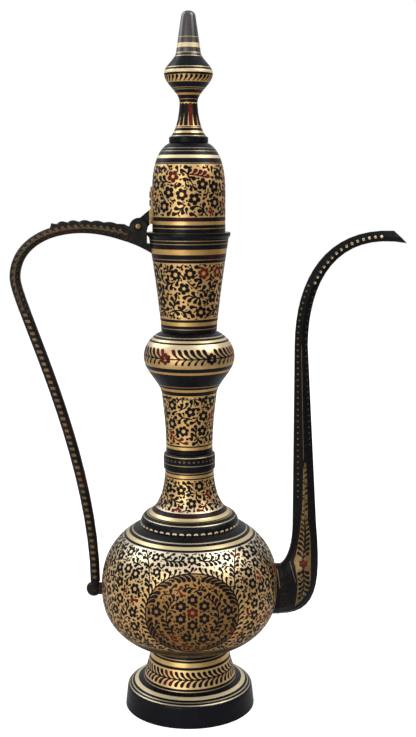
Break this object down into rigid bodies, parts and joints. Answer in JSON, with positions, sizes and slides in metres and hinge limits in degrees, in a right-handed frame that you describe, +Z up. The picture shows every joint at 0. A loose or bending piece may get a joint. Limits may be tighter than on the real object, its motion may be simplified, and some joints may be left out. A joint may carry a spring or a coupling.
{
  "type": "surahi ewer",
  "caption": "Tall turned brass ewer with a round belly on a spread foot, swan-neck spout, looped handle and hinged domed lid with a finial.",
  "frame": {"origin": "centre of the foot's rim on the table, on the axis of the turned body", "axes": "+Z up along the axis of the turned body, +X towards the spout, -X towards the handle and hinge"},
  "size_m": [0.3142, 0.145, 0.56],
  "materials": {
    "engraved_brass": "engraved brass with black and red lacquer in the floral ground",
    "black_lacquer": "gloss black lacquer on brass with bare brass lines",
    "dark_lacquer": "worn brown-black lacquer on cast brass",
    "plain_brass": "aged, half polished"
  },
  "bodies": {
    "vessel": {"foot": "black_lacquer", "foot_bolt": "plain_brass", "foot_washer": "plain_brass", "foot_nut": "plain_brass", "belly_lower": "engraved_brass", "belly_upper": "engraved_brass", "shoulder_collar": "black_lacquer", "lower_neck": "engraved_brass", "neck_ring": "black_lacquer", "upper_neck": "engraved_brass", "neck_bulb": "engraved_brass", "cup": "engraved_brass", "spout_flange": "black_lacquer", "spout": "black_lacquer", "handle": "dark_lacquer", "handle_pad": "dark_lacquer", "handle_screw": "plain_brass", "hinge_bracket": "dark_lacquer", "hinge_pin": "plain_brass"},
    "lid": {"lid_dome": "engraved_brass", "lid_guide": "plain_brass", "hinge_strap": "plain_brass", "strap_rivets": "plain_brass", "finial_collar": "black_lacquer", "finial": "black_lacquer", "finial_screw": "plain_brass", "finial_washer": "plain_brass"}
  },
  "joints": [
    {"name": "lid_hinge", "type": "hinge", "parent": "vessel", "child": "lid", "pos_m": [-0.0396, 0, 0.3952], "axis": [0, -1, 0], "range_deg": [0, 95]}
  ]
}
